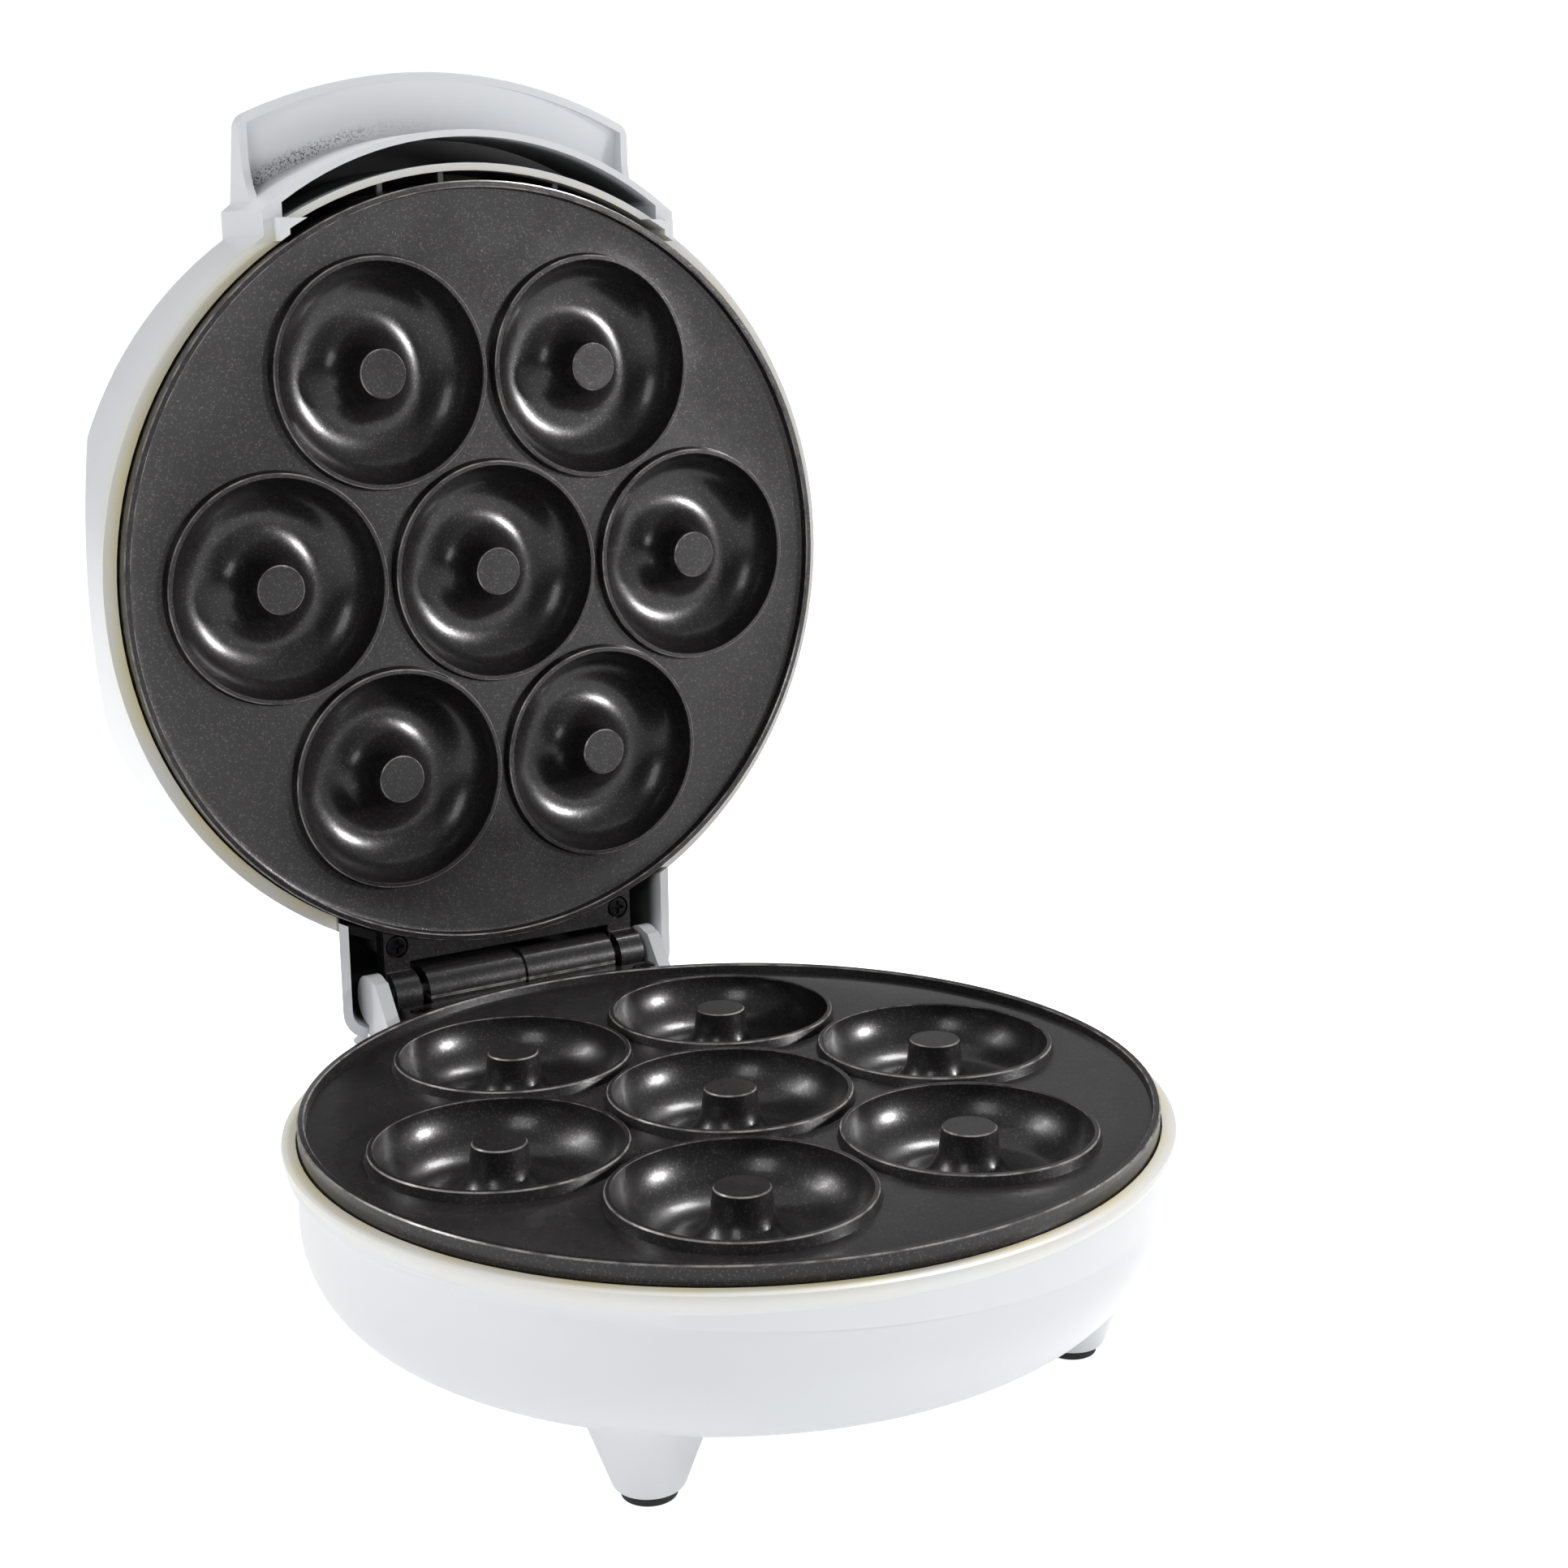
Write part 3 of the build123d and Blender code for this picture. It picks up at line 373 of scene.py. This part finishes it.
@dataclass(frozen=True)
class Metal(Finish):
    """Drawn, stamped or pressed metal with fine marks along one axis."""

    colour: str = "B8B8BA"
    roughness: float = 0.3
    grain_mm: float = 0.25
    stretch: tuple[float, float, float] = (0.05, 1.0, 1.0)

    def paint(self) -> None:
        """Bare metal with fine drawn lines and slight tarnish."""
        tree, shader, place = self.start()
        lines = add_node(tree, "Mapping", None, Vector=place, Scale=self.stretch).outputs[0]
        marks = noise(tree, lines, self.grain_mm, 3.0)
        tarnish = noise(tree, place, 7.0, 3.0)
        base = linear(self.colour)
        dark = (base[0] * 0.7, base[1] * 0.69, base[2] * 0.66, 1.0)
        tree.links.new(blend_colour(tree, remap(tree, tarnish, 0.35, 0.8), base, dark),
                       shader.inputs["Base Color"])
        shader.inputs["Metallic"].default_value = 1.0
        low, high = self.roughness * 0.8, self.roughness * 1.25
        tree.links.new(remap(tree, marks, 0.3, 0.7, low, high), shader.inputs["Roughness"])
        bump(tree, shader, marks, 0.01, 0.4)


@dataclass(frozen=True)
class Dull(Finish):
    """Matt non-metal, such as rubber, ceramic, sleeving or board, with a fine grain."""

    colour: str = "161617"
    shade: str = "222223"
    roughness: float = 0.6
    grain_mm: float = 0.5
    relief_mm: float = 0.03

    def paint(self) -> None:
        """Two close tones over a fine grain."""
        tree, shader, place = self.start()
        grain = noise(tree, place, self.grain_mm, 3.0, 0.6)
        clouds = noise(tree, place, self.grain_mm * 18, 3.0)
        tree.links.new(blend_colour(tree, clouds, linear(self.colour), linear(self.shade)),
                       shader.inputs["Base Color"])
        low, high = self.roughness * 0.85, min(1.0, self.roughness * 1.15)
        tree.links.new(remap(tree, grain, 0.3, 0.7, low, high), shader.inputs["Roughness"])
        bump(tree, shader, grain, self.relief_mm, 0.6)


@dataclass(frozen=True)
class Lens(Finish):
    """Clear tinted polycarbonate over a frosted back, with a moulded ripple."""

    colour: str = "8E1410"

    def paint(self) -> None:
        """Tinted gloss with faint ripples."""
        tree, shader, place = self.start()
        ripple = noise(tree, place, 0.9, 1.0)
        base = linear(self.colour)
        pale = tuple(min(1.0, 1.5 * c) for c in base[:3]) + (1.0,)
        tree.links.new(blend_colour(tree, ripple, base, pale), shader.inputs["Base Color"])
        shader.inputs["Roughness"].default_value = 0.12
        shader.inputs["IOR"].default_value = 1.58
        shader.inputs["Transmission Weight"].default_value = 0.35
        bump(tree, shader, ripple, 0.05, 0.4)


# ---------------------------------------------------------------- pieces
@dataclass
class Moulding:
    """A moulded, cast or turned piece that starts from its frame node.

    The node's copy is welded, and its round stretches are shaded smooth.
    """

    node: str
    body: Body
    finish: Finish
    title: str
    weld_mm: float = 0.002
    smooth_below: float = 32.0

    def build(self) -> bpy.types.Object:
        """Make the piece, dress it and let it stand for its node.

        Returns:
            The finished object.
        """
        source = frame["nodes"][self.node]
        mesh = source.data.copy()
        mesh.name = self.title
        piece = bpy.data.objects.new(self.title, mesh)
        bpy.context.scene.collection.objects.link(piece)
        for key in list(piece.keys()):
            del piece[key]
        mesh.materials.clear()
        activate(piece)
        if mesh.has_custom_normals:
            bpy.ops.mesh.customdata_custom_splitnormals_clear()
        bpy.ops.object.mode_set(mode="EDIT")
        bpy.ops.mesh.select_all(action="SELECT")
        bpy.ops.mesh.remove_doubles(threshold=self.weld_mm * MM)
        bpy.ops.object.mode_set(mode="OBJECT")
        activate(piece)
        bpy.ops.object.shade_smooth_by_angle(angle=math.radians(self.smooth_below))
        mesh.materials.append(self.finish.material())
        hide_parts(self.node)
        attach(piece, self.body.value)
        LOG.info("%s: %d faces", self.title, len(piece.data.polygons))
        return piece


@dataclass
class KeptNodes:
    """Frame nodes whose shape is right and which only take a finish."""

    finishes: dict[str, Finish] = field(default_factory=dict)

    def dress(self) -> None:
        """Put each node's finish in its material slots."""
        for name, finish in self.finishes.items():
            obj = frame["nodes"][name]
            for place in obj.material_slots:
                place.material = finish.material()
            LOG.info("%s: %s", name, finish.name)


# ---------------------------------------------------------------- finishes of this appliance
BASE_LOW, BASE_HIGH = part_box("lower_cooking_plate")
LID_LOW, LID_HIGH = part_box("upper_cooking_plate")
PLATE_RADIUS = BASE_HIGH.x
PLATE_Y = BASE_LOW.y + PLATE_RADIUS
HINGE = frame["joints"][0]["pos_m"]
PARTING_Z = HINGE[2]
PARTING_Y = HINGE[1]
LID_CENTRE_Z = PARTING_Z + (HINGE[1] - PLATE_Y)

ARCH_RISE = 19.0 * MM
ARCH_RADIUS = 93.7 * MM
TAIL_INSIDE = 48.0 * MM
TAIL_LEVEL = PARTING_Z - 8.5 * MM

BASE_WHITE = MouldedWhite("white_abs_base", "white_plastic", Facing.UP, PARTING_Z - 4.6 * MM, (0.0, PLATE_Y))
LID_WHITE = MouldedWhite("white_abs_lid", "white_plastic", Facing.FRONT, PARTING_Y + 4.6 * MM,
                         (0.0, LID_CENTRE_Z), recesses=True)
LOWER_COATING = NonStick("sprayed_non_stick_lower", "nonstick_coating", Facing.UP,
                         PARTING_Z - 0.15 * MM)
UPPER_COATING = NonStick("sprayed_non_stick_upper", "nonstick_coating", Facing.FRONT,
                         PARTING_Y + 0.15 * MM)
PIN_STEEL = Metal("drawn_steel_pin", "steel_pin", "9C9C9E", 0.32)
SHEATH = Metal("heat_darkened_sheath", "element_sheath", "5C5652", 0.45, 0.4, (1.0, 1.0, 1.0))
STRIP = Metal("stamped_strip", "steel_strip", "B4B4B6", 0.35, 0.3, (0.1, 1.0, 1.0))
SHEET = Metal("pressed_aluminium", "aluminium_sheet", "CFCFD0", 0.34, 0.6, (1.0, 0.06, 1.0))
ZINC = Metal("zinc_plated_screw", "plated_screws", "C4C6C8", 0.3, 0.3, (1.0, 1.0, 0.2))
BLACK_OXIDE = Metal("black_oxide_screw", "black_screws", "2A2A2C", 0.38, 0.3, (1.0, 1.0, 1.0))
CAN = Metal("pressed_can", "thermostat_can", "C8C8C6", 0.3, 0.4, (1.0, 1.0, 0.1))
RUBBER = Dull("moulded_rubber", "black_rubber", "131314", "1E1E20", 0.62, 0.5, 0.03)
CERAMIC = Dull("unglazed_ceramic", "terminal_ceramic", "E2DDD0", "D6D0C0", 0.72, 0.4, 0.03)
SLEEVE = Dull("glass_fibre_sleeve", "fuse_sleeve", "D8CFB6", "C8BD9E", 0.7, 0.6, 0.06)
LEAD = Dull("silicone_lead", "wire_sleeve", "CDC6B2", "BDB59E", 0.5, 0.8, 0.03)
LAMINATE = Dull("paper_laminate", "board_laminate", "A07C42", "8C6A36", 0.55, 0.6, 0.02)
RED_LENS = Lens("red_lens", "red_lens", "9E1712")
GREEN_LENS = Lens("green_lens", "green_lens", "1C8A34")


AIM = Vector((0.0, 0.0, 100.0)) * MM
SPOT_PLACE = Vector((1.0, -0.92, 0.46))
SPOT_SIZE = (0.13, 0.13)
WINDOW_PLACE = Vector((-0.95, 0.58, 0.75))
WINDOW_SIZE = (0.14, 0.55)


@dataclass
class Studio:
    """Pale floor, white surround, soft lights and the camera."""

    eye: Vector = field(default_factory=lambda: Vector((-271.6, -455.65, 245.7)) * MM)
    right: Vector = field(default_factory=lambda: Vector((0.8318, -0.5550, -0.0102)))
    up: Vector = field(default_factory=lambda: Vector((0.1282, 0.1742, 0.9763)))
    lens_mm: float = 52.65

    def build(self) -> None:
        """Set up everything round the object."""
        self.floor()
        self.surround()
        self.camera()
        bpy.context.scene.view_settings.view_transform = "Standard"
        self.softbox("low_right", SPOT_PLACE, SPOT_SIZE, 5.0)
        self.softbox("high_right", Vector((0.62, 0.2, 1.05)), (0.26, 0.26), 7.0)
        self.softbox("left_window", WINDOW_PLACE, WINDOW_SIZE, 4.0)
        self.softbox("front_left", Vector((-0.9, -0.7, 0.7)), (0.4, 0.5), 2.8)
        self.sun()

    def floor(self) -> None:
        """Pale matt floor under the object."""
        deselect()
        bpy.ops.mesh.primitive_plane_add(size=12.0, location=(0, 0, 0))
        floor = bpy.context.object
        floor.name = "studio_floor"
        material = bpy.data.materials.new("studio_paper")
        material.use_nodes = True
        shader = next(n for n in material.node_tree.nodes if n.type == "BSDF_PRINCIPLED")
        shader.inputs["Base Color"].default_value = linear("FAFAFA")
        shader.inputs["Roughness"].default_value = 0.8
        shader.inputs["Emission Color"].default_value = linear("FFFFFF")
        seen = add_node(material.node_tree, "LightPath").outputs["Is Camera Ray"]
        material.node_tree.links.new(remap(material.node_tree, seen, 0.0, 1.0, 0.3, 0.8),
                                     shader.inputs["Emission Strength"])
        floor.data.materials.append(material)

    def surround(self) -> None:
        """Even white surround, dimmer in reflections than to the eye."""
        world = bpy.data.worlds.new("studio")
        world.use_nodes = True
        tree = world.node_tree
        background = next(n for n in tree.nodes if n.type == "BACKGROUND")
        background.inputs["Color"].default_value = (1.0, 1.0, 1.0, 1.0)
        seen = add_node(tree, "LightPath").outputs["Is Camera Ray"]
        height = add_node(tree, "SeparateXYZ", None, Vector=add_node(tree, "TexCoord").outputs["Generated"])
        dome = remap(tree, height.outputs[2], 0.0, 0.7, 0.10, 0.46)
        strength = maths(tree, "MAXIMUM", dome, maths(tree, "MULTIPLY", seen, 1.05))
        tree.links.new(strength, background.inputs["Strength"])
        bpy.context.scene.world = world

    def sun(self) -> None:
        """Wide soft overhead light that brings the floor up to white."""
        data = bpy.data.lights.new("ceiling", "SUN")
        data.energy = 0.75
        data.angle = math.radians(80)
        light = bpy.data.objects.new("ceiling", data)
        bpy.context.scene.collection.objects.link(light)
        light.rotation_euler = (math.radians(-18), math.radians(12), 0)

    def camera(self) -> None:
        """Camera looking down on the appliance from the front left."""
        data = bpy.data.cameras.new("camera")
        data.lens = self.lens_mm
        data.sensor_width = 36.0
        camera = bpy.data.objects.new("camera", data)
        bpy.context.scene.collection.objects.link(camera)
        right = self.right.normalized()
        back = right.cross(self.up).normalized()
        up = back.cross(right)
        turn = Matrix((right, up, back)).transposed().to_4x4()
        camera.matrix_world = Matrix.Translation(self.eye) @ turn
        bpy.context.scene.camera = camera

    def sparkle(self, plates: list[bpy.types.Object]) -> None:
        """Two lights that reach only the cooking plates."""
        lit = bpy.data.collections.new("flagged_plates")
        for plate in plates:
            lit.objects.link(plate)
        for name, place, size, watts in (("plate_spot", SPOT_PLACE, SPOT_SIZE, 26.0),
                                         ("plate_window", WINDOW_PLACE, WINDOW_SIZE, 11.0)):
            light = self.softbox(name, place, size, watts)
            light.light_linking.receiver_collection = lit

    def softbox(self, name: str, place: Vector, size: tuple[float, float],
                watts: float) -> bpy.types.Object:
        """Rectangular area light aimed at the middle of the appliance.

        Args:
            name: name of the light.
            place: where it stands, in metres.
            size: width and height in metres.
            watts: power.

        Returns:
            The light.
        """
        data = bpy.data.lights.new(name, "AREA")
        data.shape = "RECTANGLE"
        data.size, data.size_y = size
        data.energy = watts
        light = bpy.data.objects.new(name, data)
        bpy.context.scene.collection.objects.link(light)
        light.location = place
        light.rotation_euler = (AIM - place).to_track_quat("-Z", "Y").to_euler()
        return light


def main() -> None:
    """Build the studio, the pieces and their finishes, and report each."""
    logging.basicConfig(level=logging.INFO, format="%(message)s")
    studio = Studio()
    studio.build()
    pieces = [
        Moulding("base_shell", Body.BASE, BASE_WHITE, "bowl_moulding"),
        Moulding("lid_shell", Body.LID, LID_WHITE, "lid_moulding"),
        Moulding("lower_cooking_plate", Body.BASE, LOWER_COATING, "lower_plate_casting", smooth_below=20.0),
        Moulding("upper_cooking_plate", Body.LID, UPPER_COATING, "upper_plate_casting", smooth_below=20.0),
    ]
    made = [piece.build() for piece in pieces]
    studio.sparkle(made[2:])
    kept = {
        "hinge_pin": PIN_STEEL, "lower_heating_element": SHEATH, "upper_heating_element": SHEATH,
        "lower_element_clamps": STRIP, "upper_element_clamps": STRIP, "lower_heat_shield": SHEET,
        "upper_heat_shield": SHEET, "lower_shield_screws": ZINC, "upper_shield_screws": ZINC,
        "lower_plate_screws": ZINC, "lower_tab_screws": BLACK_OXIDE, "upper_tab_screws": BLACK_OXIDE,
        "thermostat": CAN, "thermal_fuse": SLEEVE, "terminal_block": CERAMIC, "base_wiring": LEAD,
        "lid_wiring": LEAD, "inlet_plug": RUBBER, "power_lamp_lens": RED_LENS,
        "ready_lamp_lens": GREEN_LENS, "lamp_board": LAMINATE,
    }
    kept.update({n: RUBBER for n in frame["nodes"] if n.startswith("foot_pad")})
    KeptNodes(kept).dress()


if __name__ == "__main__":
    main()
